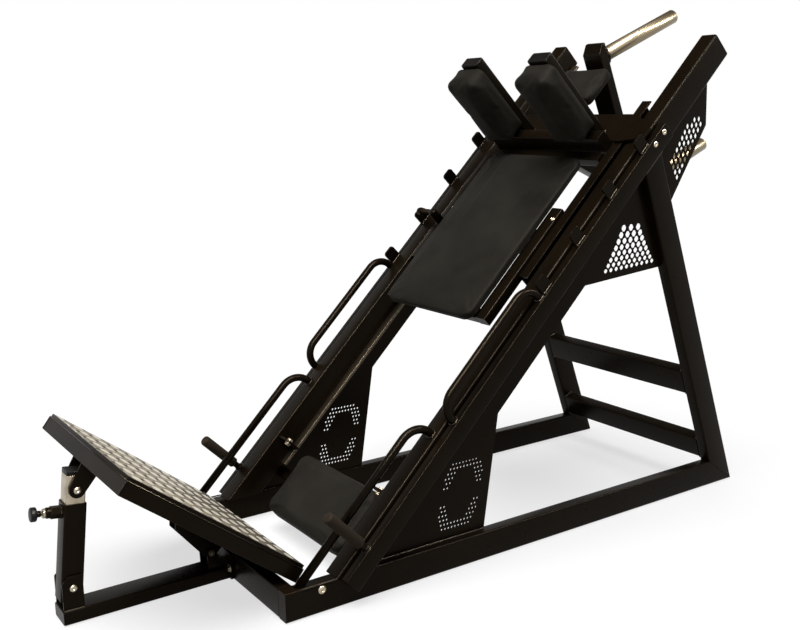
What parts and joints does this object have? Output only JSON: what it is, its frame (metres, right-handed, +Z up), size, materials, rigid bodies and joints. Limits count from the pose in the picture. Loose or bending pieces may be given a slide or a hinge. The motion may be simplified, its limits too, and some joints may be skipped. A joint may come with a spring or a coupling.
{
  "type": "leg press hack squat machine",
  "caption": "Angled strength machine whose padded carriage slides on rollers up two inclined beams, with catches, grab bars, weight sleeves and a tilting footplate.",
  "frame": {"origin": "on the floor, under the middle of the front cross tube", "axes": "+X is the lifter's left, +Y runs from the footplate end to the high rear end, +Z is up"},
  "size_m": [0.8386, 2.6291, 1.6884],
  "materials": {
    "powder_coat": "black powder coat, fine orange-peel, semi-gloss",
    "upholstery": "black grained vinyl over foam",
    "grip_rubber": "black moulded rubber, matte",
    "bright_steel": "zinc-plated steel, lightly brushed",
    "tread": "bright raised tread sheet",
    "sleeve_chrome": "polished chrome",
    "roller_plastic": "black nylon",
    "board": "black-stained plywood"
  },
  "bodies": {
    "frame": {"front_cross_tube": "powder_coat", "rear_lower_cross_tube": "powder_coat", "rear_upper_cross_tube": "powder_coat", "seat_support": "powder_coat", "footplate_arm": "powder_coat", "base_rail_left": "powder_coat", "base_rail_right": "powder_coat", "rear_upright_left": "powder_coat", "rear_upright_right": "powder_coat", "main_beam_left": "powder_coat", "main_beam_right": "powder_coat", "catch_rail_left": "powder_coat", "catch_rail_right": "powder_coat", "side_gusset_left": "powder_coat", "side_gusset_right": "powder_coat", "rear_gusset_left": "powder_coat", "rear_gusset_right": "powder_coat", "upper_grab_bar_left": "powder_coat", "upper_grab_bar_right": "powder_coat", "lower_grab_bar_left": "powder_coat", "lower_grab_bar_right": "powder_coat", "stop_bracket_left": "powder_coat", "stop_bracket_right": "powder_coat", "guide_track_left": "bright_steel", "guide_track_right": "bright_steel", "handle_grip_left": "grip_rubber", "handle_grip_right": "grip_rubber", "seat_pad": "upholstery", "seat_board": "board"},
    "carriage": {"side_channel_left": "powder_coat", "side_channel_right": "powder_coat", "pad_tube_left": "powder_coat", "pad_tube_right": "powder_coat", "carriage_lower_cross_tube": "powder_coat", "carriage_upper_cross_tube": "powder_coat", "crossbeam": "powder_coat", "shoulder_plate": "powder_coat", "shoulder_post_left": "powder_coat", "shoulder_post_right": "powder_coat", "horn_post": "powder_coat", "horn_brace": "powder_coat", "spine_tube": "powder_coat", "shoulder_pad_left": "upholstery", "shoulder_pad_right": "upholstery", "back_pad": "upholstery", "pad_board": "board", "head_pad": "upholstery", "weight_sleeve_upper": "sleeve_chrome", "weight_sleeve_lower": "sleeve_chrome"},
    "wheel_lower_left": {"roller_lower_left": "roller_plastic"},
    "wheel_lower_right": {"roller_lower_right": "roller_plastic"},
    "wheel_upper_left": {"roller_upper_left": "roller_plastic"},
    "wheel_upper_right": {"roller_upper_right": "roller_plastic"},
    "latch": {"latch_lever": "powder_coat"},
    "footplate": {"footplate_tray": "powder_coat", "tread_plate": "tread"},
    "post_lower": {"post_outer": "powder_coat"},
    "post_upper": {"post_inner": "bright_steel"},
    "puller": {"pull_pin": "roller_plastic"}
  },
  "joints": [
    {"name": "carriage_slide", "type": "slide", "parent": "frame", "child": "carriage", "axis": [0, 0.7077, 0.7065], "range_m": [-0.58, 0.15]},
    {"name": "roller_spin_lower_left", "type": "hinge", "parent": "carriage", "child": "wheel_lower_left", "pos_m": [0.3005, 0.96244, 0.84405], "axis": [1, 0, 0], "continuous": true},
    {"name": "roller_spin_lower_right", "type": "hinge", "parent": "carriage", "child": "wheel_lower_right", "pos_m": [-0.3005, 0.96244, 0.84405], "axis": [1, 0, 0], "continuous": true},
    {"name": "roller_spin_upper_left", "type": "hinge", "parent": "carriage", "child": "wheel_upper_left", "pos_m": [0.3005, 1.40123, 1.28208], "axis": [1, 0, 0], "continuous": true},
    {"name": "roller_spin_upper_right", "type": "hinge", "parent": "carriage", "child": "wheel_upper_right", "pos_m": [-0.3005, 1.40123, 1.28208], "axis": [1, 0, 0], "continuous": true},
    {"name": "latch_turn", "type": "hinge", "parent": "carriage", "child": "latch", "pos_m": [-0.289, 0.99895, 0.95327], "axis": [0, 0.7065, -0.7077], "range_deg": [0, 60]},
    {"name": "footplate_tilt", "type": "hinge", "parent": "frame", "child": "footplate", "pos_m": [0, -0.076, 0.09], "axis": [1, 0, 0], "range_deg": [-5, 4]},
    {"name": "post_swing", "type": "hinge", "parent": "frame", "child": "post_lower", "pos_m": [0, -0.478, 0.1], "axis": [1, 0, 0], "range_deg": [-4.6, 3.7]},
    {"name": "post_extension", "type": "slide", "parent": "post_lower", "child": "post_upper", "axis": [0, 0.1173, 0.9931], "range_m": [-0.029, 0.036]},
    {"name": "pull_pin_slide", "type": "slide", "parent": "post_lower", "child": "puller", "axis": [0, -0.9931, 0.1173], "range_m": [0, 0.012], "stiffness_N_per_m": 500}
  ],
  "couplings": [
    {"joint": "roller_spin_lower_left", "follows": "carriage_slide", "rad_per_m": -35.714},
    {"joint": "roller_spin_lower_right", "follows": "carriage_slide", "rad_per_m": -35.714},
    {"joint": "roller_spin_upper_left", "follows": "carriage_slide", "rad_per_m": -35.714},
    {"joint": "roller_spin_upper_right", "follows": "carriage_slide", "rad_per_m": -35.714},
    {"joint": "post_swing", "follows": "footplate_tilt", "ratio": 0.8636},
    {"joint": "post_extension", "follows": "footplate_tilt", "m_per_rad": -0.4004}
  ]
}
